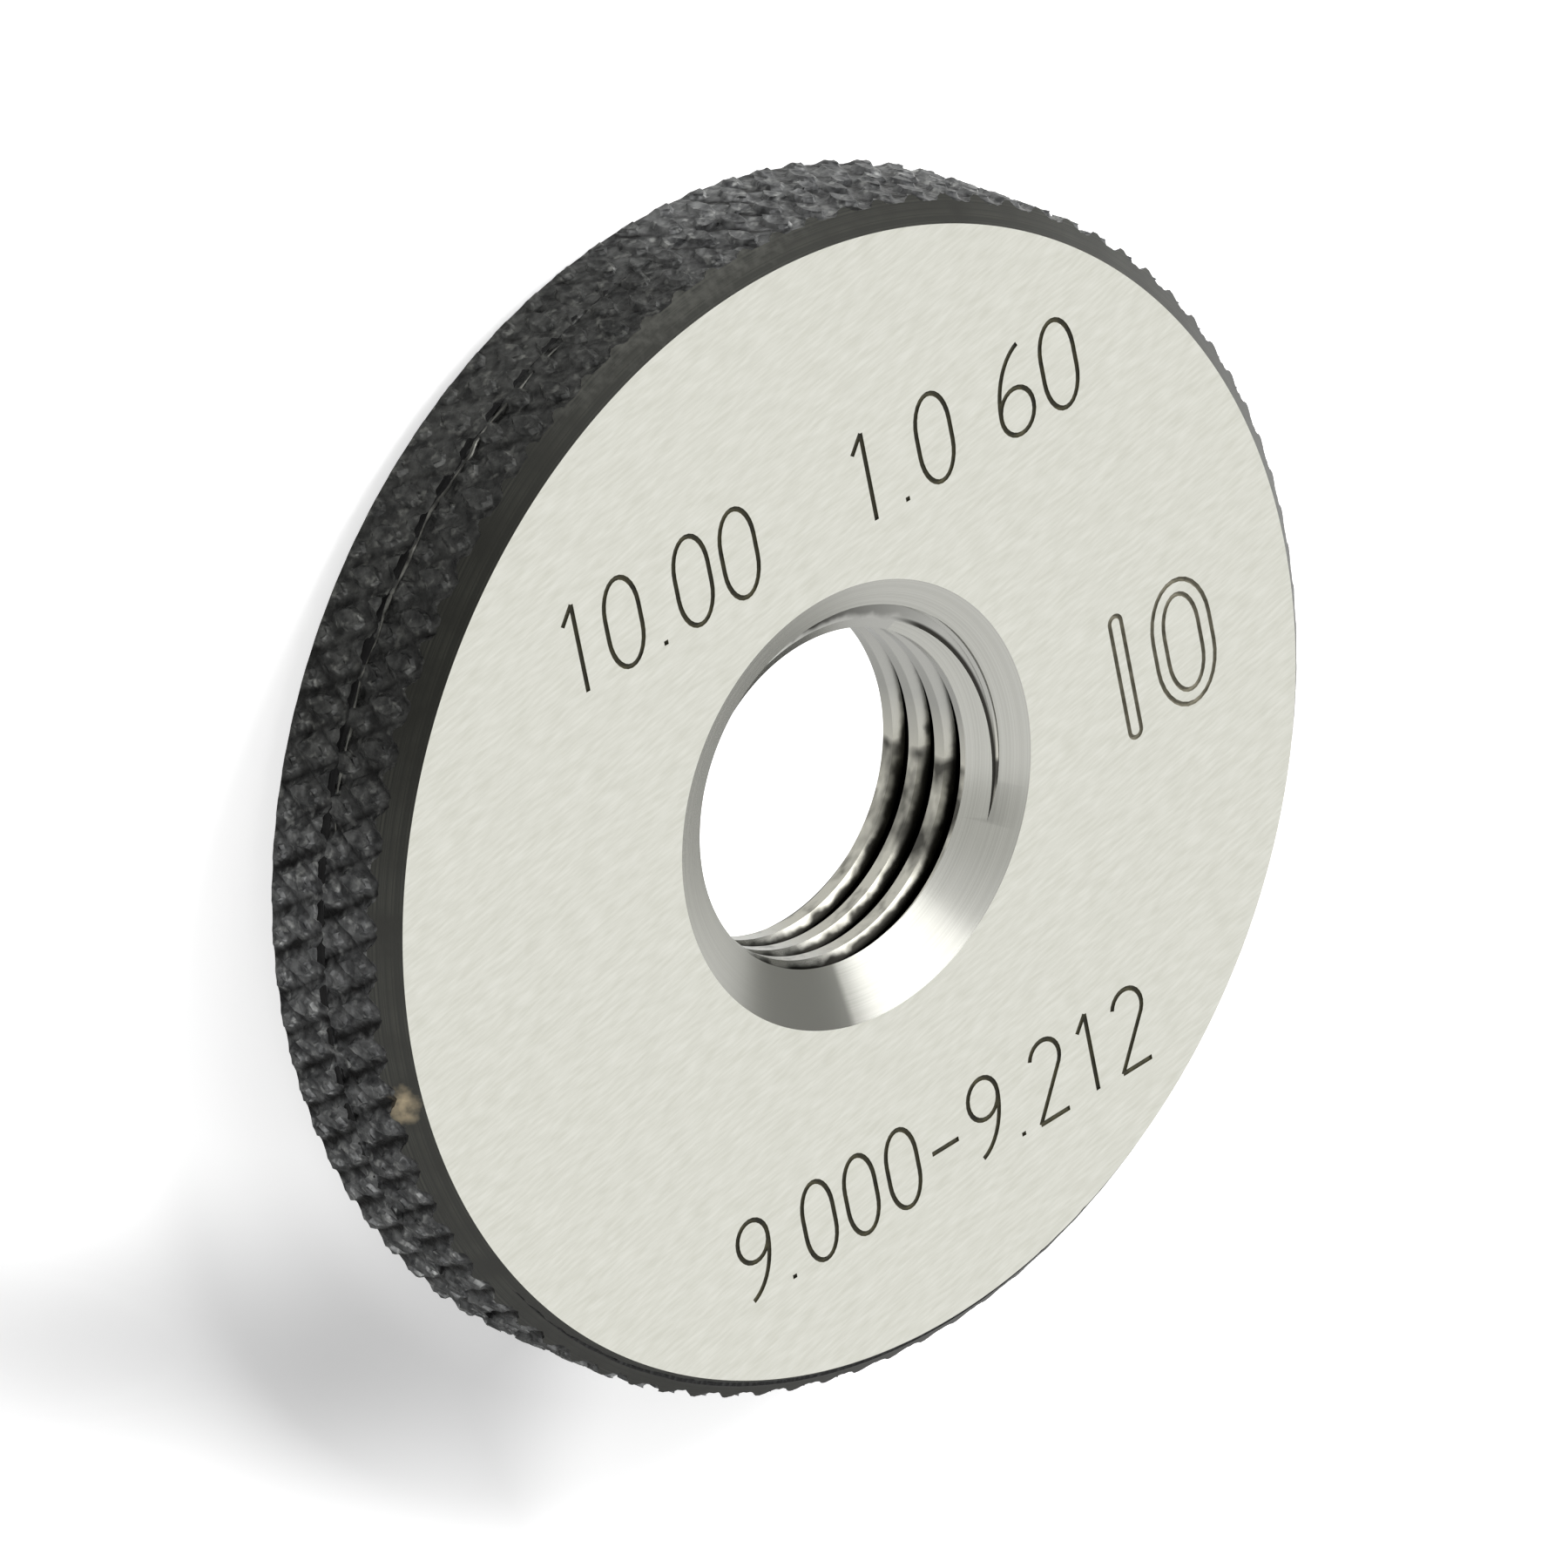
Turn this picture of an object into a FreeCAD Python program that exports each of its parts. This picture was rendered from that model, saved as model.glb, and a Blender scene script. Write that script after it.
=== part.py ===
import FreeCAD, Part
import math
import os

from FreeCAD import Vector

# Thread ring gauge for the fine left-hand thread of 10 mm, in millimetres and degrees.
# It lies on its plain face: Z runs up the axis of the bore, X is the reading direction
# of the marked face, and the origin is the middle of the face that it rests on.

# The ring, which is turned from one bar of tool steel
OUTSIDE_DIAMETER = 32.0      # over the crests of the knurl
THICKNESS = 5.0              # between the two ground faces
RIM_CHAMFER = 0.65           # at 45 degrees, on both edges of the rim

# The bore, whose thread crests are cut back flat
MINOR_DIAMETER = 9.0         # across the crests of the thread
COUNTERSINK_DIAMETER = 12.0  # where the countersink meets either face
COUNTERSINK_ANGLE = 120.0    # between opposite walls of the cone

# The knurl, two sets of vee grooves that cross on the rim, rolled in two passes side by side
KNURL_PITCH = 1.0            # square across the grooves
KNURL_HELIX = 30.0           # between a groove and the axis
KNURL_DEPTH = 0.28           # where two grooves cross, and at the seam
KNURL_VEE = 90.0             # between the two walls of a groove
SEAM_WIDTH = 0.3             # of the gap at mid-rim between the two passes
LOWER_CROSSING = 1.0         # from the seam down to the nearest row of crossings in line
UPPER_CROSSING = 1.25        # from the seam up to the nearest row of crossings in line
PASS_SHIFT = 0.5             # how far the upper pass is turned, in grooves

AXIS = Vector(0, 0, 1)
CENTRE = Vector(0, 0, 0)
outside_radius = OUTSIDE_DIAMETER / 2
minor_radius = MINOR_DIAMETER / 2
countersink_radius = COUNTERSINK_DIAMETER / 2
half_thickness = THICKNESS / 2
pitch_round_rim = KNURL_PITCH / math.cos(math.radians(KNURL_HELIX))
grooves_of_a_hand = round(math.pi * OUTSIDE_DIAMETER / pitch_round_rim)


def face_from(corners):
    """A flat face inside the closed line through these corners."""
    return Part.Face(Part.makePolygon(corners + corners[:1]))


def rim_outline(radius, height):
    """Corners of a rim with one flat side for each crest of the knurl in turn."""
    sides = 2 * grooves_of_a_hand
    half_side = math.pi / sides
    corners = []
    for index in range(sides):
        angle = (2 * index + 1) * half_side
        reach = radius / math.cos(half_side)
        corners.append(Vector(reach * math.cos(angle), reach * math.sin(angle), height))
    return corners


def half_blank():
    """Half of the disc, from the seam up to one face, before it is bored and knurled."""
    levels = [
        rim_outline(outside_radius - KNURL_DEPTH, 0),
        rim_outline(outside_radius, SEAM_WIDTH / 2),
        rim_outline(outside_radius, half_thickness - RIM_CHAMFER),
        rim_outline(outside_radius - RIM_CHAMFER, half_thickness),
    ]
    faces = [face_from(levels[0]), face_from(levels[-1])]
    for lower, upper in zip(levels, levels[1:]):
        for index in range(len(lower)):
            faces.append(face_from([lower[index - 1], lower[index], upper[index], upper[index - 1]]))
    return Part.Solid(Part.Shell(faces))


def bore_core():
    """What the boring bar takes out: the bore at the thread's crests, and both countersinks."""
    depth = (countersink_radius - minor_radius) / math.tan(math.radians(COUNTERSINK_ANGLE / 2))
    section = face_from([
        Vector(0, 0, 0),
        Vector(countersink_radius, 0, 0),
        Vector(minor_radius, 0, depth),
        Vector(minor_radius, 0, THICKNESS - depth),
        Vector(countersink_radius, 0, THICKNESS),
        Vector(0, 0, THICKNESS),
    ])
    return section.revolve(CENTRE, AXIS, 360)


def vee_cutter(hand, angle, height):
    """The cutter of one knurl groove that leans to one hand and passes this angle and height."""
    half_vee = math.radians(KNURL_VEE / 2)
    reach = 2 * KNURL_DEPTH
    half_width = reach * math.tan(half_vee)
    length = 2 * THICKNESS / math.cos(math.radians(KNURL_HELIX))
    root = outside_radius - KNURL_DEPTH
    section = face_from([
        Vector(root, 0, -length / 2),
        Vector(root + reach, half_width, -length / 2),
        Vector(root + reach, -half_width, -length / 2),
    ])
    cutter = section.extrude(Vector(0, 0, length))
    cutter.rotate(CENTRE, Vector(1, 0, 0), hand * KNURL_HELIX)
    cutter.translate(Vector(0, 0, height))
    cutter.rotate(CENTRE, AXIS, angle)
    return cutter


def knurled_half(crossing, shift):
    """Half of the disc, from the seam up to one face, with both sets of grooves of its pass."""
    half = half_blank()
    step = 360 / grooves_of_a_hand
    angles = [(index + shift) * step for index in range(grooves_of_a_hand)]
    for hand in (-1, 1):
        half = half.cut([vee_cutter(hand, angle, crossing) for angle in angles])
    return half


lower_half = knurled_half(LOWER_CROSSING, 0).mirror(CENTRE, AXIS)
upper_half = knurled_half(UPPER_CROSSING, PASS_SHIFT)
disc = lower_half.fuse(upper_half).removeSplitter()
disc.translate(Vector(0, 0, half_thickness))
gauge_ring = disc.cut(bore_core())

os.makedirs("parts", exist_ok=True)
gauge_ring.Solids[0].exportStep("parts/gauge_ring.step")
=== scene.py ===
from collections import namedtuple
import math

import bmesh
import bpy
from mathutils import Matrix, Vector


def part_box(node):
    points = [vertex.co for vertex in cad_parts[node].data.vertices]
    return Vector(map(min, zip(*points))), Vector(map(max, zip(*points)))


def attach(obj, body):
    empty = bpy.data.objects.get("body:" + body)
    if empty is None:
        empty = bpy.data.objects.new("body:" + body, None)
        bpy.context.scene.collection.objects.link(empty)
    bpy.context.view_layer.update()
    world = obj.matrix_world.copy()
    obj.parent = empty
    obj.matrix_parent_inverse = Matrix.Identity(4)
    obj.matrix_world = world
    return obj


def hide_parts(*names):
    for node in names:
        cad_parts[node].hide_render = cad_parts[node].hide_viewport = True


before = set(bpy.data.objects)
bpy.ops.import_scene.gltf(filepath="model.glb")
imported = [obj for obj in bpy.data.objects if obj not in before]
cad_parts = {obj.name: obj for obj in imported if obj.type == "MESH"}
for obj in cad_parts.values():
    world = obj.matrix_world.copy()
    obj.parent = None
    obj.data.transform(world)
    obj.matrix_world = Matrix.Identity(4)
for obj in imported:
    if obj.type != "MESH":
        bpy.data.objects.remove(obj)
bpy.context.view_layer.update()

# Sizes in millimetres. The ring is modelled in millimetres and brought to metres when it is done,
# and its materials measure it in millimetres too.
METRES = 0.001
box_low, box_high = (Vector(corner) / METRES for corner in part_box("gauge_ring"))
OUTSIDE_RADIUS = (box_high.x - box_low.x) / 2
THICKNESS = box_high.z - box_low.z
RIM_CHAMFER = 0.65
RIM_SIDES = 348

# The bore: a left-hand thread of 1 mm pitch, whose crests are cut back flat
CREST_RADIUS = 4.5
COUNTERSINK_RADIUS = 6.0
CONE_SLOPE = math.tan(math.radians(30))  # how far a countersink drops on its way inwards
COUNTERSINK_DEPTH = (COUNTERSINK_RADIUS - CREST_RADIUS) * CONE_SLOPE
BORE_SIDES = 192
THREAD_PITCH = 1.0
PITCH_LINE_RADIUS = 4.606
FLANK_END_RADIUS = 4.78
ROOT_RADIUS = 5.27
FLANK_SLOPE = math.tan(math.radians(30))
GROOVE_ANGLE = 12.0      # where round the bore the groove crosses this height
GROOVE_HEIGHT = 3.56
GROOVE_SHADE_START = 4.58         # distance from the axis where the painted shade starts to darken the groove
GROOVE_SHADE_FULL = 4.8           # and where the groove is black

# The knurl: diamonds left by two sets of rolled grooves, in two passes that meet at mid-rim
KNURL_COUNT = 87
KNURL_ROW = 1.0          # from one row of diamonds to the next, along the axis
KNURL_DEPTH = 0.26
CRATER_DEPTH = 0.04      # how low the middle of a diamond lies inside its lip
SEAM_HEIGHT = 2.5
SEAM_RADIUS = 0.12       # of the rounded gap between the two passes
SEAM_ANGLE = 147.0       # where round the rim the gap is deepest
SEAM_LEAN = -0.5         # its ring is off the axis, away from there, so that it runs out elsewhere
LOWER_ROW = 2.5          # height of a row of diamonds in the lower pass
UPPER_ROW = 3.75         # and of one above it in the upper pass
SHALLOW_ANGLE = 102.0    # where round the rim the grooves are shallowest
CORE_LEAN = 0.26         # how far the bar under the grooves is off the axis, towards there
SHADED_SIDE_ANGLE = 125.0       # where round the rim the painted shade is deepest
SHADED_SIDE_TONE = (0.45, 0.45, 0.43, 1)  # what the painted shade leaves of the other colours there
LOWER_TONE = 1.35        # how much lighter the lower pass is than the upper one
SPECK_ANGLE = 98.0       # where round the chamfer paler specks show
FIN_HEIGHT = 2.72        # of the burr that the second pass threw up
FIN_ANGLE = 130.0        # where round the rim it stands proud
FIN_LEAN = 1.6           # how far its ring is off the axis, so that it sinks in elsewhere

BARE_ANGLE = 183.3       # where the black has worn off the front of the rim
BARE_HEIGHT = THICKNESS - 0.3
BARE_SIZE = 1.0

# A painted dark reflection at one side of the countersinks: it starts at the first of these angles, is
# full between the second and the third, and has faded out at the last
DARK_REFLECTION_ANGLES = (-103, -106, -130, -178)

# The face: which way it was ground, above the reading direction of its marks
GRIND_TURN = math.radians(9.5)

# Its marks: each line of signs with its left end, base, height, and pitch from sign to sign
MARK_LINES = (
    ("10.00", -8.3, 7.25, 2.53, 1.6),
    ("1.0", 1.75, 7.25, 2.53, 1.6),
    ("60", 6.96, 7.25, 2.53, 1.6),
    ("9.000-9.212", -6.6, -11.63, 2.3, 1.49),
)
MARK_WIDTH = 0.14
DIGIT_WIDTH = 0.45       # as a share of the height
NARROW_SIGN = 0.5        # what a point takes, as a share of a digit's cell
OUTLINED_SIGNS = ((9.35, 0), (11.45, 0.8))  # where each is, and half its width, or 0 for a bar
OUTLINED_BASE = -2.5
OUTLINED_HEIGHT = 3.2
OUTLINED_BAR = 0.4       # between the two lines of an outlined sign
OUTLINED_BEND = 1.2      # height of the bend at either end of a ring
OUTLINE_WIDTH = 0.13

# The finishes in the order of the ring's material slots
FACE, CHAMFER, KNURL, COUNTERSINK, THREAD, MARK, OUTLINE, SEAM_SHADE, BURR = range(9)

# The camera, fitted to the outlines of the face and of the countersink in the photograph
CAMERA_ELEVATION = 44.68
CAMERA_AZIMUTH = -132.16
CAMERA_ROLL = 111.07
CAMERA_DISTANCE = 489.97
CAMERA_SIDEWAYS = (-1.894, 0.549)
CAMERA_LENS = 438.6

# The light: lamps by direction, size in metres and power in watts, at one distance
LAMP_DISTANCE = 0.5
SOFTBOX = ((0.404, 0.396, 0.825), 0.3, 0.56)
SHADOW_LAMP = ((0.7, 0.474, 0.534), 0.22, 2.9)
FILL_LAMP = ((-0.9, -0.1, 0.4), 0.3, 1.15)
WALL_LIGHT = 0.2         # what the walls give to matt surfaces, where white is 1
OPEN_GLOW = 0.62         # of the floor, on top of what the lamps give it
FLOOR_GLOW = 0.32        # near the ring, in the strip of painted shadow where its cast shadow runs out
STRIP_GLOW = 0.17        # further out in that strip
FAR_GLOW = 0.04          # and at its far end
STRIP_START = (-10, -14.3, 0)
STRIP_TURN = math.radians(146.8)
BORE_PAINTED_LIGHT = 0.6          # painted light added under the bore, which lifts the floor seen through it to white
DARK_CORNERS = (         # directions that mirror darker, where each starts and is full, its colour
    ((-0.527, 0.477, 0.703), 0.8, 0.95, "#6a6a68"),
    ((0.862, 0.12, 0.492), 0.91, 0.945, "#5e5e5a"),
    ((-0.278, 0.046, 0.96), 0.965, 0.99, "#b8b8b4"),
)

Place = namedtuple("Place", "point x y height radius angle")


def linear(hex_colour):
    """An sRGB hex colour as the linear colour that shaders take."""
    channels = [int(hex_colour[index:index + 2], 16) / 255 for index in (1, 3, 5)]
    bent = [
        channel / 12.92 if channel <= 0.04045 else ((channel + 0.055) / 1.055) ** 2.4
        for channel in channels]
    return (*bent, 1.0)


def deselect_all():
    bpy.ops.object.select_all(action="DESELECT")


def named(name):
    """The piece that was just added, under its own name."""
    piece = bpy.context.active_object
    piece.name = piece.data.name = name
    return piece


def start_editing(piece, kind, wanted):
    """Open the piece in edit mode with only the wanted parts of its mesh picked."""
    bpy.context.view_layer.objects.active = piece
    bpy.ops.object.mode_set(mode="EDIT")
    pick(piece, kind, wanted)


def pick(piece, kind, wanted):
    """In edit mode, pick just the vertices, edges or faces that the test wants."""
    bpy.ops.mesh.select_mode(type=kind)
    bpy.ops.mesh.select_all(action="DESELECT")
    mesh = bmesh.from_edit_mesh(piece.data)
    for part in {"VERT": mesh.verts, "EDGE": mesh.edges, "FACE": mesh.faces}[kind]:
        if wanted(part):
            part.select_set(True)
    mesh.select_flush_mode()
    bmesh.update_edit_mesh(piece.data)


def stop_editing():
    bpy.ops.object.mode_set(mode="OBJECT")


def add_modifier(piece, kind, **settings):
    """Add a modifier with these settings and apply it."""
    bpy.context.view_layer.objects.active = piece
    modifier = piece.modifiers.new(kind.lower(), kind)
    for setting, value in settings.items():
        setattr(modifier, setting, value)
    bpy.ops.object.modifier_apply(modifier=modifier.name)


def combine(piece, other, operation):
    """Cut, join or keep the overlap of a piece with another, which is used up."""
    add_modifier(piece, "BOOLEAN", operation=operation, solver="MANIFOLD", object=other)
    bpy.data.objects.remove(other)


def node(tree, kind, inputs=(), **settings):
    """Add one shader node with its settings, and a value or a link for each of these inputs."""
    made = tree.nodes.new("ShaderNode" + kind)
    for setting, value in settings.items():
        setattr(made, setting, value)
    for socket, value in dict(inputs).items():
        if isinstance(value, bpy.types.NodeSocket):
            tree.links.new(value, made.inputs[socket])
        else:
            made.inputs[socket].default_value = value
    return made


def new_material(name):
    """A material with an empty surface shader, and its node tree."""
    material = bpy.data.materials.new(name)
    material.use_nodes = True
    material.node_tree.nodes.clear()
    return material, material.node_tree


def finish_material(tree, inputs):
    """Close a material with the surface shader that takes these inputs."""
    shader = node(tree, "BsdfPrincipled", inputs)
    node(tree, "OutputMaterial", {"Surface": shader.outputs["BSDF"]})


def millimetres(tree):
    """A place on the part, in millimetres."""
    place = node(tree, "TexCoord").outputs["Object"]
    return node(tree, "VectorMath", {
        0: place, "Scale": 1 / METRES}, operation="SCALE").outputs["Vector"]


def streaks(tree, size, turn=0, detail=2.0, source=None):
    """Noise drawn out to this size in millimetres, turned about the axis by an angle."""
    placed = node(tree, "Mapping", {
        "Vector": source or millimetres(tree), "Rotation": (0, 0, turn), "Scale": size},
        vector_type="TEXTURE")
    return node(tree, "TexNoise", {
        "Vector": placed.outputs["Vector"], "Scale": 1.0, "Detail": detail}).outputs["Fac"]


def within(tree, *spans):
    """A share that grows smoothly to one as every measure goes from its start to its end."""
    share = 1.0
    for measure, start, end in spans:
        part = node(tree, "MapRange", {
            "Value": measure, "From Min": start, "From Max": end}, interpolation_type="SMOOTHSTEP")
        share = node(tree, "Math", {
            0: part.outputs["Result"], 1: share}, operation="MULTIPLY").outputs["Value"]
    return share


def eased(tree, measure, start, end, first, last):
    """A value that goes smoothly from first to last as a measure goes from its start to its end."""
    mix = node(tree, "Mix", {
        "Factor": within(tree, (measure, start, end)), "A": first, "B": last}, data_type="FLOAT")
    return mix.outputs["Result"]


def two_colours(tree, factor, first, second, start=0.0, end=1.0):
    """One colour that turns into another as the factor goes from its start to its end."""
    share = node(tree, "MapRange", {"Value": factor, "From Min": start, "From Max": end})
    mix = node(tree, "Mix", {"Factor": share.outputs["Result"], 6: first, 7: second}, data_type="RGBA")
    return mix.outputs[2]


def part_place(tree):
    """A place in millimetres, with its distance from the axis and its angle in radians."""
    point = millimetres(tree)
    x, y, height = node(tree, "SeparateXYZ", {"Vector": point}).outputs
    flat = node(tree, "CombineXYZ", {"X": x, "Y": y}).outputs["Vector"]
    radius = node(tree, "VectorMath", {0: flat}, operation="LENGTH").outputs["Value"]
    angle = node(tree, "Math", {0: y, 1: x}, operation="ARCTAN2").outputs["Value"]
    return Place(point, x, y, height, radius, angle)


def towards(tree, at, angle):
    """How far a place lies from the axis towards one angle round it."""
    turn = math.radians(angle)
    return node(tree, "VectorMath", {
        0: at.point, 1: (math.cos(turn), math.sin(turn), 0)}, operation="DOT_PRODUCT").outputs["Value"]


def turned_rings(tree, at, size):
    """Noise drawn out into the rings that turning leaves, which are all alike round the axis."""
    section = node(tree, "CombineXYZ", {"X": at.radius, "Z": at.height}).outputs["Vector"]
    return streaks(tree, (size, size, size), detail=3.0, source=section)


def ground_face():
    """Steel ground on a surface grinder: fine straight scratches, nearly along the marks."""
    material, tree = new_material("ground_steel_face")
    # Real scratches are too fine to show, so they are drawn a tenth of a millimetre wide
    fine = streaks(tree, (0.65, 0.1, 1.0), GRIND_TURN, 3.0)
    broad = streaks(tree, (0.9, 0.35, 1.0), GRIND_TURN, 1.0)
    both = node(tree, "Math", {0: broad, 1: 0.4, 2: fine}, operation="MULTIPLY_ADD").outputs["Value"]
    colour = two_colours(tree, both, linear("#d7d7cc"), linear("#e4e4db"), 0.48, 0.92)
    bump = node(tree, "Bump", {"Height": fine, "Strength": 0.2, "Distance": 0.01 * METRES})
    finish_material(tree, {
        "Base Color": colour, "Metallic": 1.0, "Roughness": 0.36, "Normal": bump.outputs["Normal"]})
    return material


def bare_spot(tree, at):
    """How far the black has worn off the front of the rim, in one patchy spot."""
    turn = math.radians(BARE_ANGLE)
    middle = Vector((OUTSIDE_RADIUS * math.cos(turn), OUTSIDE_RADIUS * math.sin(turn), BARE_HEIGHT))
    away = node(tree, "VectorMath", {0: at.point, 1: middle}, operation="DISTANCE")
    near = node(tree, "MapRange", {
        "Value": away.outputs["Value"], "From Min": BARE_SIZE, "From Max": 0.0})
    patchy = streaks(tree, (0.35, 0.35, 0.35), detail=3.0)
    return node(tree, "Math", {
        0: near.outputs["Result"], 1: patchy, 2: 0.1}, operation="MULTIPLY_ADD").outputs["Value"]


def black_chamfer():
    """Blackened steel on the rim's chamfers, with the rings that turning left."""
    material, tree = new_material("blackened_chamfer")
    at = part_place(tree)
    rings = turned_rings(tree, at, 0.04)
    colour = two_colours(tree, rings, linear("#2a2b28"), linear("#42423c"), 0.35, 0.7)
    patches = streaks(tree, (1.2, 1.2, 1.2), detail=3.0)
    colour = two_colours(tree, patches, colour, linear("#2f2f2b"), 0.4, 0.7)
    low_down = eased(tree, at.height, THICKNESS - 0.1, THICKNESS - 0.4, 0.8, 1.0)
    pale_side = within(tree, (towards(tree, at, SPECK_ANGLE), 14, 15.8))
    specks = streaks(tree, (0.3, 0.3, 0.3), detail=3.0)
    for share in (low_down, pale_side):
        specks = node(tree, "Math", {0: specks, 1: share}, operation="MULTIPLY").outputs["Value"]
    colour = two_colours(tree, specks, colour, linear("#50504b"), 0.35, 0.75)
    colour = two_colours(tree, bare_spot(tree, at), colour, linear("#b0a184"), 0.25, 0.6)
    bump = node(tree, "Bump", {"Height": rings, "Strength": 0.3, "Distance": 0.01 * METRES})
    finish_material(tree, {
        "Base Color": colour, "Metallic": 0.5, "Roughness": 0.35, "Normal": bump.outputs["Normal"]})
    return material


def across_grooves(tree, at):
    """How near a place is to a groove that rises to the right: 0.5 on its line, 0 midway."""
    two_rows = 2 * KNURL_ROW
    rise = node(tree, "Math", {
        0: at.height, 1: 1 / two_rows, 2: -LOWER_ROW / two_rows},
        operation="MULTIPLY_ADD").outputs["Value"]
    count = node(tree, "Math", {
        0: at.angle, 1: KNURL_COUNT / math.tau, 2: rise}, operation="MULTIPLY_ADD").outputs["Value"]
    upper = node(tree, "Math", {
        0: at.height, 1: SEAM_HEIGHT}, operation="GREATER_THAN").outputs["Value"]
    shifted = node(tree, "Math", {
        0: upper, 1: (LOWER_ROW - UPPER_ROW) / two_rows, 2: count},
        operation="MULTIPLY_ADD").outputs["Value"]
    ragged = 0.4
    strayed = node(tree, "Math", {
        0: streaks(tree, (0.4, 0.4, 0.4)), 1: ragged, 2: shifted},
        operation="MULTIPLY_ADD").outputs["Value"]
    centred = node(tree, "Math", {0: strayed, 1: ragged / 2}, operation="SUBTRACT").outputs["Value"]
    return node(tree, "Math", {0: centred, 1: 0.5}, operation="PINGPONG").outputs["Value"]


def black_knurl():
    """Blackened steel on the knurl, with painted shade in its grooves, in its valleys and on one side
    of the rim, and paler flecks for the burrs that catch the light, drawn as painted glints.
    """
    material, tree = new_material("blackened_knurl")
    at = part_place(tree)
    mottle = streaks(tree, (0.35, 0.35, 0.35), detail=4.0)
    colour = two_colours(tree, mottle, linear("#4b4c4d"), linear("#8a8b8b"), 0.35, 0.7)
    # Paler flecks: bare metal on the burrs, drawn lighter as painted glints
    burr_glint_flecks = streaks(tree, (0.3, 0.3, 0.3), detail=2.5)
    colour = two_colours(tree, burr_glint_flecks, colour, linear("#aeafad"), 0.57, 0.72)
    shaded_side = towards(tree, at, SHADED_SIDE_ANGLE)
    groove_shade_share = eased(tree, shaded_side, 15, 11, 0.75, 1.0)
    # Painted shade in the grooves that rise to the right, a little less on the shaded side of the rim
    grooves = across_grooves(tree, at)
    for share in (streaks(tree, (0.9, 0.9, 0.9)), groove_shade_share):
        grooves = node(tree, "Math", {0: grooves, 1: share}, operation="MULTIPLY").outputs["Value"]
    colour = two_colours(tree, grooves, colour, linear("#262626"), 0.16, 0.27)
    # Painted shade in the valleys between the diamonds
    in_valleys, on_crests = OUTSIDE_RADIUS - 0.242, OUTSIDE_RADIUS - 0.116
    colour = two_colours(tree, at.radius, linear("#1c1c1c"), colour, in_valleys, on_crests)
    # Painted shade on one side of the rim
    painted_shade = within(tree, (shaded_side, 12, 14.8))
    colour = node(tree, "Mix", {
        "Factor": painted_shade, 6: colour, 7: SHADED_SIDE_TONE}, data_type="RGBA", blend_type="MULTIPLY").outputs[2]
    tone = eased(tree, at.height, SEAM_HEIGHT - 0.1, SEAM_HEIGHT + 0.1, LOWER_TONE, 1.0)
    colour = node(tree, "VectorMath", {0: colour, "Scale": tone}, operation="SCALE").outputs["Vector"]
    colour = two_colours(tree, bare_spot(tree, at), colour, linear("#9a8d76"), 0.3, 0.7)
    facet_size = 0.2
    facets = node(tree, "TexVoronoi", {
        "Vector": at.point, "Scale": 1 / facet_size}, feature="F1").outputs["Distance"]
    rough = node(tree, "Math", {
        0: mottle, 1: 0.5, 2: facets}, operation="MULTIPLY_ADD").outputs["Value"]
    bump = node(tree, "Bump", {"Height": rough, "Strength": 0.7, "Distance": 0.06 * METRES})
    finish_material(tree, {
        "Base Color": colour, "Metallic": 0.6, "Roughness": 0.3, "Normal": bump.outputs["Normal"]})
    return material


def turned_steel():
    """Bright steel with fine rings from the countersink, and a painted dark reflection at one side of
    it.
    """
    material, tree = new_material("turned_steel_countersink")
    at = part_place(tree)
    rings = turned_rings(tree, at, 0.03)
    colour = two_colours(tree, rings, linear("#b8b8b1"), linear("#c8c8c1"), 0.3, 0.7)
    start, full, thinning, gone = (math.radians(angle) for angle in DARK_REFLECTION_ANGLES)
    # A painted dark reflection at one side of the countersink
    dark_reflection = within(tree, (at.angle, start, full), (at.angle, gone, thinning))
    colour = two_colours(tree, dark_reflection, colour, linear("#92928c"))
    bump = node(tree, "Bump", {"Height": rings, "Strength": 0.2, "Distance": 0.01 * METRES})
    around = node(tree, "Tangent", direction_type="RADIAL", axis="Z")
    finish_material(tree, {
        "Base Color": colour, "Metallic": 0.64, "Roughness": 0.25, "Anisotropic": 0.7,
        "Anisotropic Rotation": 0.25,
        "Tangent": around.outputs["Tangent"], "Normal": bump.outputs["Normal"]})
    return material


def thread_groove_shade(tree, at):
    """How dark the painted shade in the thread's grooves is, reaching further out towards -y and in
    patches.
    """
    # The painted shade reaches further out of the grooves towards -y
    lower_side_shade = eased(tree, at.y, 1.0, -2.5, -0.18, 0.1)
    patch_size = 0.4
    shade_patches = node(tree, "Math", {
        0: streaks(tree, (0.6, 0.6, 0.35)), 1: patch_size, 2: -patch_size / 2},
        operation="MULTIPLY_ADD").outputs["Value"]
    reach = at.radius
    for more in (lower_side_shade, shade_patches):
        reach = node(tree, "Math", {0: reach, 1: more}, operation="ADD").outputs["Value"]
    off_middle = node(tree, "Math", {
        0: at.height, 1: THICKNESS / 2}, operation="SUBTRACT").outputs["Value"]
    off_middle = node(tree, "Math", {0: off_middle}, operation="ABSOLUTE").outputs["Value"]
    at_mouth, inside = 1.85, 1.7
    between_mouths = node(tree, "MapRange", {
        "Value": off_middle, "From Min": at_mouth, "From Max": inside}).outputs["Result"]
    return node(tree, "Math", {
        0: between_mouths, 1: within(tree, (reach, GROOVE_SHADE_START, GROOVE_SHADE_FULL))},
        operation="MULTIPLY").outputs["Value"]


def painted_shade_on_cone_edge(tree, at):
    """A painted shade line along the groove's edge where it comes out on the front countersink."""
    apex = THICKNESS - COUNTERSINK_RADIUS * CONE_SLOPE
    cone = node(tree, "Math", {
        0: at.radius, 1: CONE_SLOPE, 2: apex}, operation="MULTIPLY_ADD")
    below = node(tree, "Math", {
        0: cone.outputs["Value"], 1: at.height}, operation="SUBTRACT").outputs["Value"]
    return within(
        tree, (below, 0.1, 0.05), (at.radius, 5.24, 5.2), (at.radius, 4.78, 4.86), (at.y, 4.2, 3.3))


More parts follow.
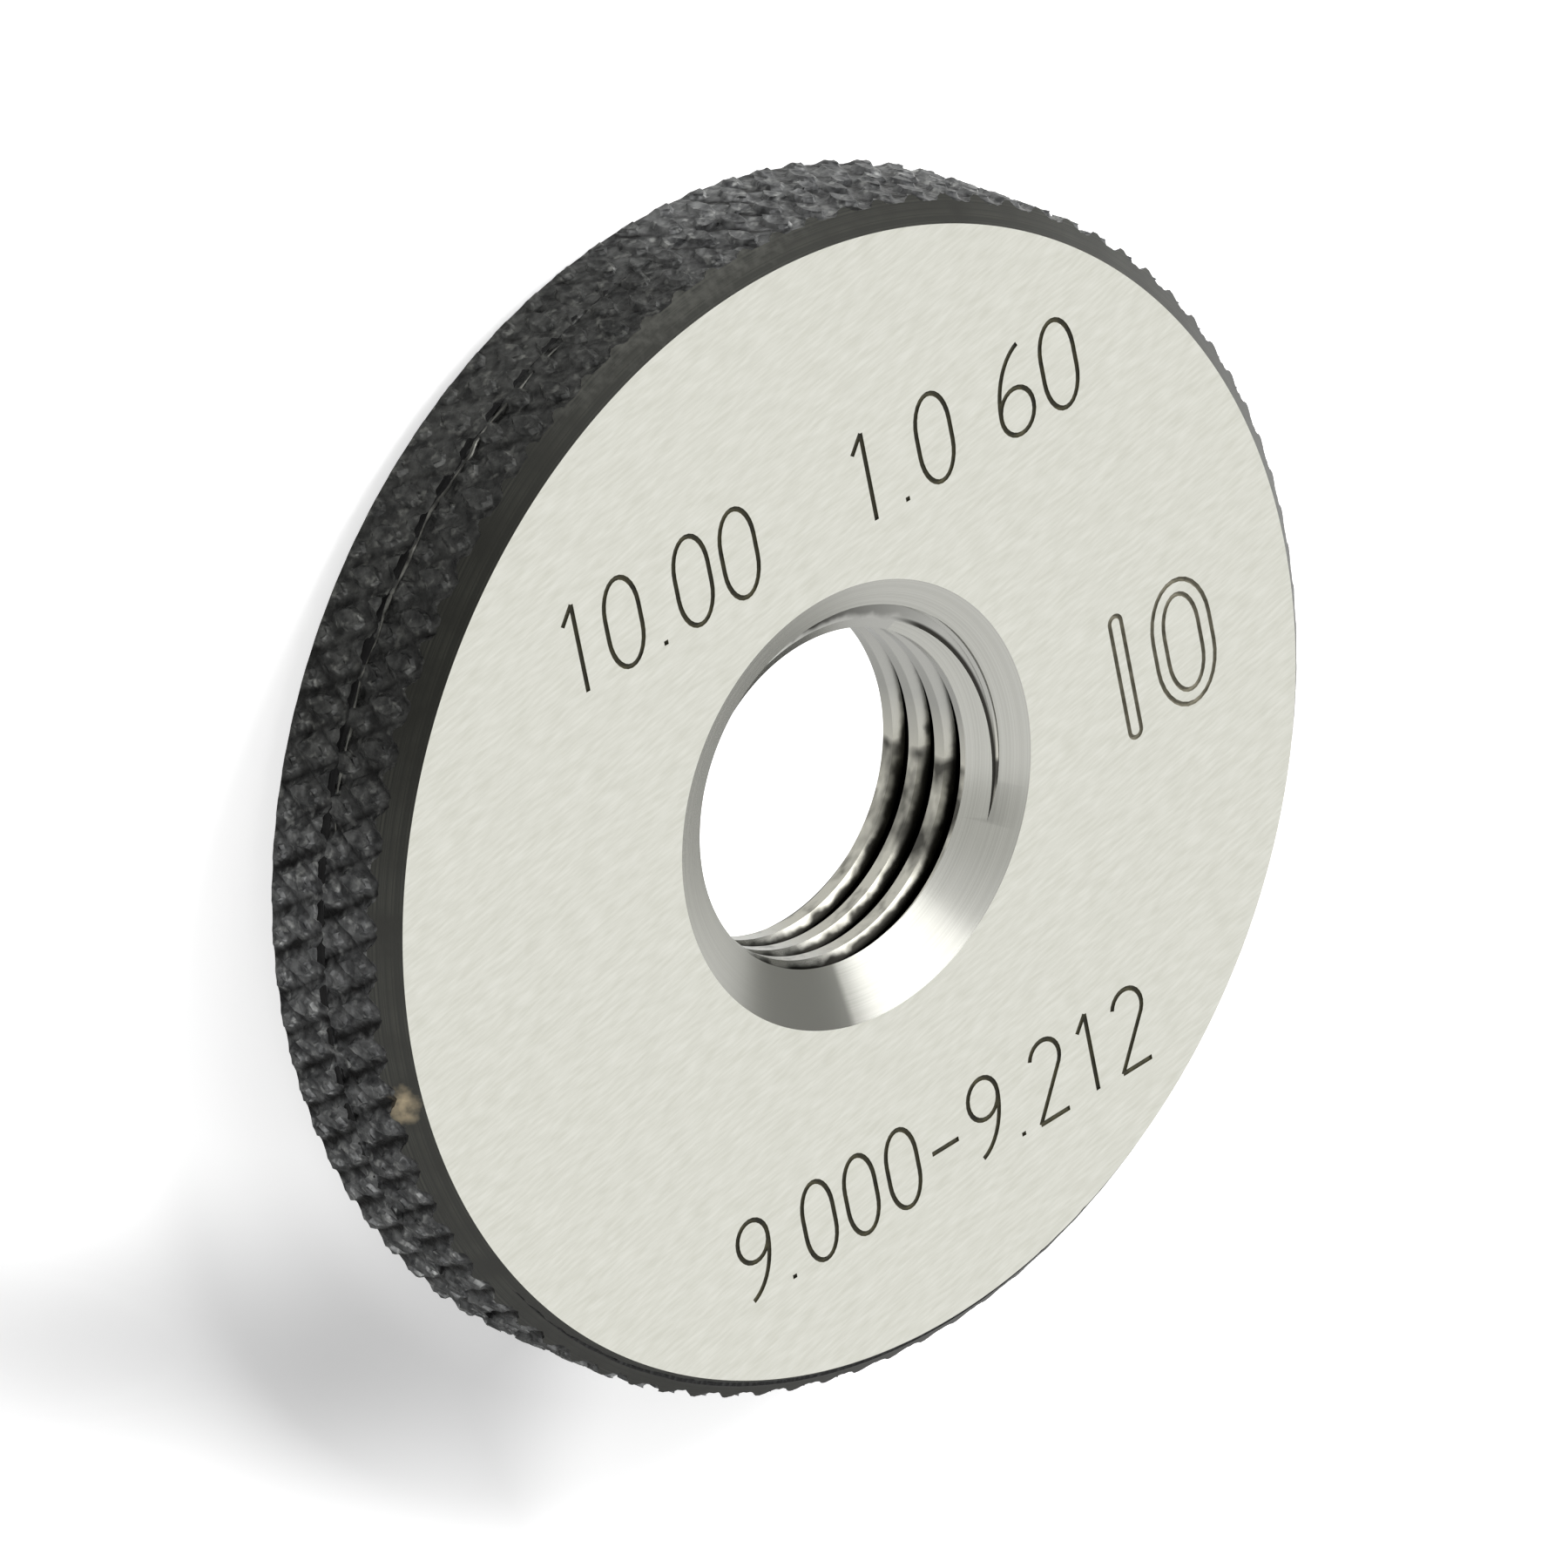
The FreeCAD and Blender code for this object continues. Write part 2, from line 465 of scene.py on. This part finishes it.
def thread_steel():
    """Lapped steel on the thread, with a painted highlight and dark blotches on its crests, and
    painted shade in its roots and along their edge on the countersink.
    """
    material, tree = new_material("lapped_steel_thread")
    at = part_place(tree)
    # Painted highlight: the crests are drawn lighter towards -y
    crests = two_colours(tree, at.y, linear("#dad8cc"), linear("#b0b0ab"), -1.8, 0.2)
    # Dark blotches on the crests towards -y
    blotched_side = within(tree, (at.y, -1.0, -1.5), (at.y, -4.5, -3.2))
    blotches = node(tree, "Math", {
        0: streaks(tree, (0.9, 0.9, 0.7)), 1: blotched_side}, operation="MULTIPLY").outputs["Value"]
    crests = two_colours(tree, blotches, crests, linear("#5a5954"), 0.3, 0.6)
    # Painted highlight: lighter still towards -x
    crests = two_colours(tree, at.x, linear("#e6e6e0"), crests, -1.5, 0.0)
    dark = node(tree, "Math", {
        0: thread_groove_shade(tree, at), 1: painted_shade_on_cone_edge(tree, at)}, operation="MAXIMUM").outputs["Value"]
    # Painted shade in the grooves and along their edge on the countersink
    colour = two_colours(tree, dark, crests, linear("#363531"))
    finish_material(tree, {"Base Color": colour, "Metallic": 1.0, "Roughness": 0.24})
    return material


def mottled(name, dark, light, metallic, roughness):
    """A patchy finish: the burnt floor of an engraved line, the painted shade of a seam, or a burr."""
    material, tree = new_material(name)
    patches = streaks(tree, (0.3, 0.3, 0.3))
    colour = two_colours(tree, patches, linear(dark), linear(light), 0.3, 0.7)
    finish_material(tree, {"Base Color": colour, "Metallic": metallic, "Roughness": roughness})
    return material


def give_finish(piece, finish_of):
    """Give a piece every finish in one order, and each of its faces the one that the test says."""
    for material in FINISHES:
        piece.data.materials.append(material)
    for polygon in piece.data.polygons:
        polygon.material_index = finish_of(polygon)


def turned_disc():
    """The disc with both rim chamfers, a little wider than the knurl so as not to shave it."""
    spare = 0.1
    deselect_all()
    bpy.ops.mesh.primitive_cylinder_add(
        vertices=RIM_SIDES, radius=OUTSIDE_RADIUS + spare, depth=THICKNESS,
        location=(0, 0, THICKNESS / 2))
    disc = named("gauge_ring_body")
    bpy.ops.object.transform_apply()
    start_editing(disc, "EDGE", lambda edge: abs(edge.verts[0].co.z - edge.verts[1].co.z) < 0.1)
    bpy.ops.mesh.bevel(offset=RIM_CHAMFER + spare, segments=1)
    stop_editing()
    give_finish(disc, lambda polygon: FACE if abs(polygon.normal.z) > 0.9 else CHAMFER)
    return disc


def bore_cutter():
    """What the boring bar and the countersinks take out, at the crests of the thread."""
    overrun = 0.5
    straight = THICKNESS - 2 * COUNTERSINK_DEPTH
    flare = CREST_RADIUS + (COUNTERSINK_DEPTH + overrun) / CONE_SLOPE
    deselect_all()
    bpy.ops.mesh.primitive_cylinder_add(
        vertices=BORE_SIDES, radius=CREST_RADIUS, depth=straight, location=(0, 0, THICKNESS / 2))
    cutter = named("bore_cutter")
    bpy.ops.object.transform_apply()
    for side in (-1, 1):
        start_editing(cutter, "FACE", lambda face: face.normal.z * side > 0.9)
        bpy.ops.mesh.extrude_region_move(
            TRANSFORM_OT_translate={"value": (0, 0, side * (COUNTERSINK_DEPTH + overrun))})
        bpy.ops.transform.resize(value=(flare / CREST_RADIUS, flare / CREST_RADIUS, 1))
        stop_editing()
    give_finish(cutter, lambda polygon: COUNTERSINK if abs(polygon.normal.z) > 0.3 else THREAD)
    return cutter


def thread_cutter():
    """The left-hand helix of the thread's groove: 60 degree flanks, then a relief slot."""
    turns = 8
    half_pitch_gap = THREAD_PITCH / 4
    inside = CREST_RADIUS - 0.1
    slot_half = half_pitch_gap - (FLANK_END_RADIUS - PITCH_LINE_RADIUS) * FLANK_SLOPE
    half_section = [
        (inside, half_pitch_gap + (PITCH_LINE_RADIUS - inside) * FLANK_SLOPE),
        (FLANK_END_RADIUS, slot_half),
        (ROOT_RADIUS - slot_half / 2, slot_half),
        (ROOT_RADIUS, slot_half / 2),
    ]
    section = half_section + [(radius, -height) for radius, height in reversed(half_section)]
    deselect_all()
    bpy.ops.mesh.primitive_circle_add(vertices=len(section), radius=1)
    cutter = named("thread_cutter")
    for vertex, (radius, height) in zip(cutter.data.vertices, section):
        vertex.co = (radius, 0, height)
    add_modifier(
        cutter, "SCREW", axis="Z", angle=math.tau, screw_offset=-THREAD_PITCH, iterations=turns,
        steps=BORE_SIDES, render_steps=BORE_SIDES, use_merge_vertices=False)
    start_editing(cutter, "VERT", lambda vertex: True)
    bpy.ops.mesh.remove_doubles(threshold=0.0001)
    bpy.ops.mesh.fill_holes(sides=0)
    bpy.ops.mesh.normals_make_consistent(inside=False)
    stop_editing()
    start = GROOVE_HEIGHT + THREAD_PITCH * turns / 2
    cutter.data.transform(Matrix.Rotation(math.radians(GROOVE_ANGLE), 4, "Z"))
    cutter.data.transform(Matrix.Translation((0, 0, start)))
    give_finish(cutter, lambda polygon: THREAD)
    return cutter


def knurl_diamond():
    """One diamond of the knurl on the +X side: four flanks, a raised lip and a low middle."""
    valley = OUTSIDE_RADIUS - KNURL_DEPTH
    half_step = math.pi / KNURL_COUNT
    deselect_all()
    bpy.ops.mesh.primitive_circle_add(
        vertices=4, radius=1, fill_type="NGON", rotation=(0, math.pi / 2, 0))
    diamond = named("diamond")
    bpy.ops.object.transform_apply()
    start_editing(diamond, "FACE", lambda face: True)
    bpy.ops.transform.resize(value=(1, valley * math.sin(half_step), KNURL_ROW))
    bpy.ops.transform.translate(value=(valley, 0, 0))
    pick(diamond, "VERT", lambda vertex: abs(vertex.co.y) > 0.1)
    bpy.ops.transform.translate(value=(-valley * (1 - math.cos(half_step)), 0, 0))
    pick(diamond, "FACE", lambda face: True)
    flank, lip, crater = (0.17, KNURL_DEPTH), (0.08, 0), (0.08, -CRATER_DEPTH)
    for width, rise in (flank, lip, crater):
        bpy.ops.mesh.inset(thickness=width, depth=rise)
    crest = OUTSIDE_RADIUS - 0.01
    pick(diamond, "EDGE", lambda edge: all(vertex.co.x > crest for vertex in edge.verts))
    bpy.ops.transform.edge_crease(value=0.8)
    stop_editing()
    return diamond


def knurled_band(bottom, top, row):
    """A closed bar with the knurl on its outside between two heights, one row at this height."""
    step = math.tau / KNURL_COUNT
    band = knurl_diamond()
    start_editing(band, "FACE", lambda face: True)
    bpy.ops.mesh.duplicate_move(TRANSFORM_OT_translate={"value": (0, 0, KNURL_ROW)})
    bpy.ops.transform.rotate(value=step / 2, orient_axis="Z", center_override=(0, 0, 0))
    stop_editing()
    pairs_of_rows = 4
    band.data.transform(Matrix.Translation((0, 0, row - pairs_of_rows * KNURL_ROW)))
    add_modifier(
        band, "ARRAY", count=pairs_of_rows, use_relative_offset=False, use_constant_offset=True,
        constant_offset_displace=(0, 0, 2 * KNURL_ROW))
    bpy.ops.object.empty_add(rotation=(0, 0, step))
    turn = bpy.context.active_object
    add_modifier(
        band, "ARRAY", count=KNURL_COUNT, use_relative_offset=False, use_object_offset=True,
        offset_object=turn)
    bpy.data.objects.remove(turn)
    start_editing(band, "VERT", lambda vertex: True)
    bpy.ops.mesh.remove_doubles(threshold=0.002)
    stop_editing()
    add_modifier(band, "SUBSURF", levels=1, render_levels=1)
    start_editing(band, "VERT", lambda vertex: True)
    for height, clear in ((bottom, "clear_inner"), (top, "clear_outer")):
        pick(band, "VERT", lambda vertex: True)
        bpy.ops.mesh.bisect(
            plane_co=(0, 0, height), plane_no=(0, 0, 1), use_fill=True, **{clear: True})
    pick(band, "FACE", lambda face: True)
    bpy.ops.mesh.normals_make_consistent(inside=False)
    stop_editing()
    return band


def roughen(piece, size, strength, direction="NORMAL"):
    """Push the surface to and fro by a cloudy pattern, for burrs and worn edges."""
    clouds = bpy.data.textures.new("clouds", "CLOUDS")
    clouds.noise_scale = size
    clouds.noise_depth = 3
    add_modifier(
        piece, "DISPLACE", texture=clouds, strength=strength, mid_level=0.5, direction=direction)


def knurl_ring(height, reach, lean, angle, thickness, finish):
    """A closed ring round the rim that reaches this far from the axis at one angle."""
    turn = math.radians(angle)
    deselect_all()
    bpy.ops.mesh.primitive_torus_add(
        location=(lean * math.cos(turn), lean * math.sin(turn), height),
        major_segments=2 * RIM_SIDES, minor_segments=8,
        major_radius=reach - lean, minor_radius=thickness)
    ring = named("knurl_ring")
    bpy.ops.object.transform_apply()
    give_finish(ring, lambda polygon: finish)
    return ring


def seam_gap():
    """The ragged gap between the two passes of the knurl, finished in painted shade."""
    gap = knurl_ring(SEAM_HEIGHT, OUTSIDE_RADIUS - 0.08, SEAM_LEAN, SEAM_ANGLE, SEAM_RADIUS, SEAM_SHADE)
    roughen(gap, 0.35, 0.2)
    return gap


def seam_fin():
    """The wavy burr that stands up beside the seam over part of the rim."""
    fin = knurl_ring(FIN_HEIGHT, OUTSIDE_RADIUS - 0.01, FIN_LEAN, FIN_ANGLE, 0.04, BURR)
    roughen(fin, 0.3, 0.12)
    roughen(fin, 0.9, 0.4, "Z")
    return fin


def knurled_bar():
    """The bar stock after both passes of the knurling tool, with the seam between them."""
    core_radius = OUTSIDE_RADIUS - KNURL_DEPTH - 0.12
    clearance = 0.2
    angle = math.radians(SHALLOW_ANGLE)
    deselect_all()
    bpy.ops.mesh.primitive_cylinder_add(
        vertices=RIM_SIDES, radius=core_radius, depth=2 * THICKNESS,
        location=(CORE_LEAN * math.cos(angle), CORE_LEAN * math.sin(angle), THICKNESS / 2))
    bar = named("knurled_bar")
    bpy.ops.object.transform_apply()
    start_editing(bar, "EDGE", lambda edge: abs(edge.verts[0].co.z - edge.verts[1].co.z) > 0.1)
    bpy.ops.mesh.subdivide(number_cuts=31)
    stop_editing()
    roughen(bar, 0.25, 0.14)
    give_finish(bar, lambda polygon: KNURL)
    for bottom, top, row in (
            (clearance, SEAM_HEIGHT, LOWER_ROW),
            (SEAM_HEIGHT, THICKNESS - clearance, UPPER_ROW)):
        band = knurled_band(bottom, top, row)
        roughen(band, 0.3, 0.12)
        give_finish(band, lambda polygon: KNURL)
        combine(bar, band, "UNION")
    combine(bar, seam_gap(), "DIFFERENCE")
    combine(bar, seam_fin(), "UNION")
    return bar


def engraved_stroke(points, closed, width, finish):
    """A round tool swept along one line of a mark, on the marked face."""
    curve = bpy.data.curves.new("stroke", "CURVE")
    curve.dimensions = "3D"
    curve.bevel_depth = width / 2
    curve.bevel_resolution = 2
    curve.use_fill_caps = True
    spline = curve.splines.new("POLY")
    spline.points.add(len(points) - 1)
    for point, (x, y) in zip(spline.points, points):
        point.co = (x, y, THICKNESS, 1)
    spline.use_cyclic_u = closed
    stroke = bpy.data.objects.new("stroke", curve)
    bpy.context.scene.collection.objects.link(stroke)
    deselect_all()
    stroke.select_set(True)
    bpy.context.view_layer.objects.active = stroke
    bpy.ops.object.convert(target="MESH")
    start_editing(stroke, "VERT", lambda vertex: True)
    bpy.ops.mesh.remove_doubles(threshold=0.0005)
    stop_editing()
    give_finish(stroke, lambda polygon: finish)
    return stroke


def arc(middle, radii, start, end, steps=14):
    """Points along part of an oval, between two angles in degrees."""
    points = []
    for step in range(steps + 1):
        angle = math.radians(start + (end - start) * step / steps)
        points.append((middle[0] + radii[0] * math.cos(angle), middle[1] + radii[1] * math.sin(angle)))
    return points


def oval(middle, low, high, half_width, bend):
    """Points round an upright oval with straight sides, whose ends bend over this height."""
    top = arc((middle, high - bend), (half_width, bend), 0, 180)
    return top + arc((middle, low + bend), (half_width, bend), 180, 360)


def half_turned(strokes):
    """A digit turned upside down in its place."""
    return [([(DIGIT_WIDTH - x, 1 - y) for x, y in points], closed) for points, closed in strokes]


def digit_strokes():
    """Each sign as the lines of an engraver, one unit high, and whether each line closes."""
    middle = DIGIT_WIDTH / 2
    loop = (middle, 0.26)
    stem = middle + 0.03
    two = arc((middle, 0.76), (middle, 0.24), 165, -30) + [(0, 0)]
    six = arc((0.5, 0.27), (0.5, 0.73), 105, 180)
    strokes = {
        "0": [(oval(middle, 0, 1, middle, 0.38), True)],
        "1": [([(0.1, 0.81), (stem, 1)], False), ([(stem, 1), (stem, 0)], False)],
        "2": [(two, False), ([(0, 0), (DIGIT_WIDTH, 0)], False)],
        "6": [(arc(loop, (middle, 0.26), 0, 360 - 360 / 24, 23), True), (six, False)],
        ".": [([(0.06, 0.0), (0.06, 0.05)], False)],
        "-": [([(0.02, 0.45), (DIGIT_WIDTH - 0.02, 0.45)], False)],
    }
    strokes["9"] = half_turned(strokes["6"])
    return strokes


def engrave(disc, words, left, base, height, pitch):
    """Cut a line of signs into the marked face, each in a cell of the same width."""
    shapes = digit_strokes()
    for sign in words:
        for points, closed in shapes[sign]:
            placed = [(left + x * height, base + y * height) for x, y in points]
            combine(disc, engraved_stroke(placed, closed, MARK_WIDTH, MARK), "DIFFERENCE")
        left += pitch * NARROW_SIGN if sign == "." else pitch


def engrave_outlined(disc, middle, half_width):
    """Cut the outline of a bar, or of a ring of the same bar where it has a half width."""
    low, high = OUTLINED_BASE, OUTLINED_BASE + OUTLINED_HEIGHT
    half_bar = OUTLINED_BAR / 2
    if half_width:
        loops = [oval(middle, low + side, high - side, half_width - side, OUTLINED_BEND - side)
                 for side in (-half_bar, half_bar)]
    else:
        loops = [oval(middle, low - half_bar, high + half_bar, half_bar, half_bar)]
    for loop in loops:
        combine(disc, engraved_stroke(loop, True, OUTLINE_WIDTH, OUTLINE), "DIFFERENCE")


def glow_with_painted_shadow(tree, at):
    """The glow of the floor, with a painted shadow: less glow in the strip where the ring's cast
    shadow runs out.
    """
    laid = node(tree, "Mapping", {
        "Vector": at.point, "Location": STRIP_START, "Rotation": (0, 0, STRIP_TURN)},
        vector_type="TEXTURE").outputs["Vector"]
    along, across = node(tree, "SeparateXYZ", {"Vector": laid}).outputs[:2]
    across = node(tree, "Math", {0: across}, operation="ABSOLUTE").outputs["Value"]
    strip = node(tree, "Math", {
        0: eased(tree, along, 2, 9, FLOOR_GLOW, STRIP_GLOW),
        1: eased(tree, along, 11, 18, 0, FAR_GLOW - STRIP_GLOW)}, operation="ADD").outputs["Value"]
    outside = within(tree, (across, 0, 6))
    for start, end in ((3, -3), (24, 40)):
        outside = node(tree, "Math", {
            0: outside, 1: within(tree, (along, start, end))}, operation="MAXIMUM").outputs["Value"]
    mix = node(tree, "Mix", {"Factor": outside, "A": strip, "B": OPEN_GLOW}, data_type="FLOAT")
    return mix.outputs["Result"]


def add_floor():
    """A pale floor: white to the camera but for the shadow on it, with a painted shadow in a strip and
    painted light under the bore, and a painted shade in its reflections that dulls the black rim.
    """
    deselect_all()
    bpy.ops.mesh.primitive_plane_add(size=4)
    floor = named("floor")
    material, tree = new_material("studio_floor")
    path = node(tree, "LightPath").outputs
    at = part_place(tree)
    # Painted light under the bore, to the camera and in reflections
    painted_light_under_bore = node(tree, "MapRange", {
        "Value": at.radius, "From Min": CREST_RADIUS + 2, "From Max": CREST_RADIUS + 1,
        "To Max": BORE_PAINTED_LIGHT}).outputs["Result"]
    strength = node(tree, "Math", {0: painted_light_under_bore, 1: glow_with_painted_shadow(tree, at)}, operation="ADD")
    glow = node(tree, "Emission", {"Color": (1, 1, 1, 1), "Strength": strength.outputs["Value"]})
    camera_only = node(tree, "MixShader", {0: path["Is Camera Ray"], 2: glow.outputs["Emission"]})
    matt = node(tree, "BsdfDiffuse", {"Color": linear("#e6e6e6")})
    seen = node(tree, "AddShader", {0: matt.outputs["BSDF"], 1: camera_only.outputs["Shader"]})
    # Painted shade in reflections: the floor mirrors darker except towards +x
    painted_shade = two_colours(tree, at.x, linear("#8c8c8a"), linear("#f4f4f2"), 0, 25)
    mirrored = node(tree, "BsdfDiffuse", {"Color": painted_shade})
    mirrored_painted_light = node(tree, "Emission", {"Color": (1, 1, 1, 1), "Strength": painted_light_under_bore})
    mirrored = node(tree, "AddShader", {
        0: mirrored.outputs["BSDF"], 1: mirrored_painted_light.outputs["Emission"]})
    both = node(tree, "MixShader", {
        0: path["Is Glossy Ray"], 1: seen.outputs["Shader"], 2: mirrored.outputs["Shader"]})
    node(tree, "OutputMaterial", {"Surface": both.outputs["Shader"]})
    floor.data.materials.append(material)


def add_camera():
    """The camera, looking down on the ring with the photograph's view of it."""
    elevation, azimuth, roll = (
        math.radians(angle) for angle in (CAMERA_ELEVATION, CAMERA_AZIMUTH, CAMERA_ROLL))
    back = Vector((
        math.sin(azimuth) * math.cos(elevation),
        -math.cos(azimuth) * math.cos(elevation),
        math.sin(elevation)))
    turn = back.to_track_quat("Z", "Y") @ Matrix.Rotation(roll, 4, "Z").to_quaternion()
    right, up = turn @ Vector((1, 0, 0)), turn @ Vector((0, 1, 0))
    place = Vector((0, 0, THICKNESS)) + CAMERA_SIDEWAYS[0] * right + CAMERA_SIDEWAYS[1] * up
    bpy.ops.object.camera_add(location=(place + CAMERA_DISTANCE * back) * METRES)
    camera = bpy.context.active_object
    camera.rotation_mode = "QUATERNION"
    camera.rotation_quaternion = turn
    camera.data.lens = CAMERA_LENS
    camera.data.clip_start, camera.data.clip_end = 0.01, 10
    bpy.context.scene.camera = camera


def add_lamp(direction, size, power, mirrored=True):
    """A square softbox that faces the ring, and shows in its bright surfaces or not."""
    direction = Vector(direction).normalized()
    bpy.ops.object.light_add(type="AREA", location=direction * LAMP_DISTANCE)
    lamp = bpy.context.active_object
    lamp.rotation_mode = "QUATERNION"
    lamp.rotation_quaternion = direction.to_track_quat("Z", "Y")
    lamp.data.energy = power
    lamp.data.size = size
    lamp.visible_glossy = mirrored


def add_world():
    """Pale walls all round, which mirror white apart from a few darker corners."""
    world = bpy.data.worlds.new("studio")
    bpy.context.scene.world = world
    world.use_nodes = True
    tree = world.node_tree
    tree.nodes.clear()
    direction = node(tree, "TexCoord").outputs["Generated"]
    walls = (1, 1, 1, 1)
    for corner, start, full, colour in DARK_CORNERS:
        near = node(tree, "VectorMath", {
            0: direction, 1: Vector(corner).normalized()}, operation="DOT_PRODUCT")
        walls = two_colours(tree, near.outputs["Value"], walls, linear(colour), start, full)
    path = node(tree, "LightPath").outputs
    matt = (WALL_LIGHT, WALL_LIGHT, WALL_LIGHT, 1)
    lit = node(tree, "Mix", {"Factor": path["Is Glossy Ray"], 6: matt, 7: walls}, data_type="RGBA")
    seen = node(tree, "Mix", {
        "Factor": path["Is Camera Ray"], 6: lit.outputs[2], 7: (1, 1, 1, 1)}, data_type="RGBA")
    background = node(tree, "Background", {"Color": seen.outputs[2]})
    node(tree, "OutputWorld", {"Surface": background.outputs["Background"]})


FINISHES = [
    ground_face(), black_chamfer(), black_knurl(), turned_steel(), thread_steel(),
    mottled("engraved_mark", "#2c2b21", "#4c4936", 0.2, 0.6),
    mottled("engraved_outline", "#5c594b", "#858171", 0.2, 0.6),
    # Painted shade in the gap of the seam
    mottled("painted_shade_seam", "#060606", "#141414", 0.0, 0.8),
    mottled("bare_burr", "#3a3a38", "#82827c", 0.8, 0.35)]

disc = turned_disc()
combine(disc, bore_cutter(), "DIFFERENCE")
combine(disc, thread_cutter(), "DIFFERENCE")
for words, left, base, height, pitch in MARK_LINES:
    engrave(disc, words, left, base, height, pitch)
for middle, half_width in OUTLINED_SIGNS:
    engrave_outlined(disc, middle, half_width)
combine(disc, knurled_bar(), "INTERSECT")
disc.data.transform(Matrix.Scale(METRES, 4))
bpy.context.view_layer.objects.active = disc
disc.select_set(True)
bpy.ops.object.shade_smooth_by_angle(angle=math.radians(25))
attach(disc, "root")
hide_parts("gauge_ring")

bpy.context.scene.view_settings.view_transform = "Standard"
add_floor()
add_camera()
add_lamp(*SOFTBOX)
add_lamp(*SHADOW_LAMP, mirrored=False)
add_lamp(*FILL_LAMP, mirrored=False)
add_world()
